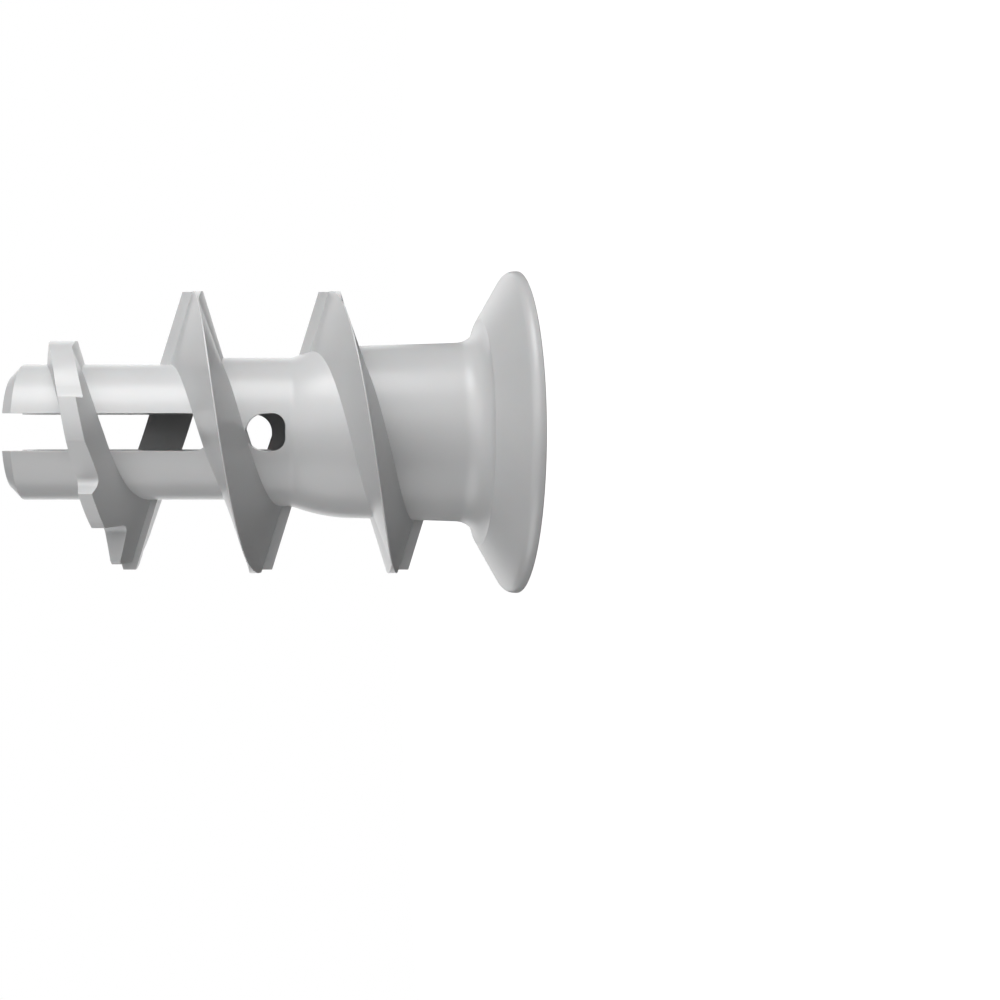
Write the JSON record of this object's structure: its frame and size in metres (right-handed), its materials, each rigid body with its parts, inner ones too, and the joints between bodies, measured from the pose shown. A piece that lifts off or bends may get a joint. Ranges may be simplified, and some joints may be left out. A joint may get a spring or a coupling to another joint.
{
  "type": "self-drilling drywall anchor",
  "caption": "Hollow plastic plug with a flat round head, a coarse outer thread and a slotted, toothed tip that cuts its own hole in plasterboard.",
  "frame": {"origin": "centre of the head's flat outer face, on the axis; the plug stands on its head", "axes": "+Z along the axis from the head to the drilling tip; the mould's parting plane is XZ, and the first cutting tooth is on the -Y side"},
  "size_m": [0.014, 0.014, 0.022],
  "materials": {
    "anchor_nylon": "satin"
  },
  "bodies": {
    "root": {"anchor_body": "anchor_nylon"}
  },
  "joints": []
}
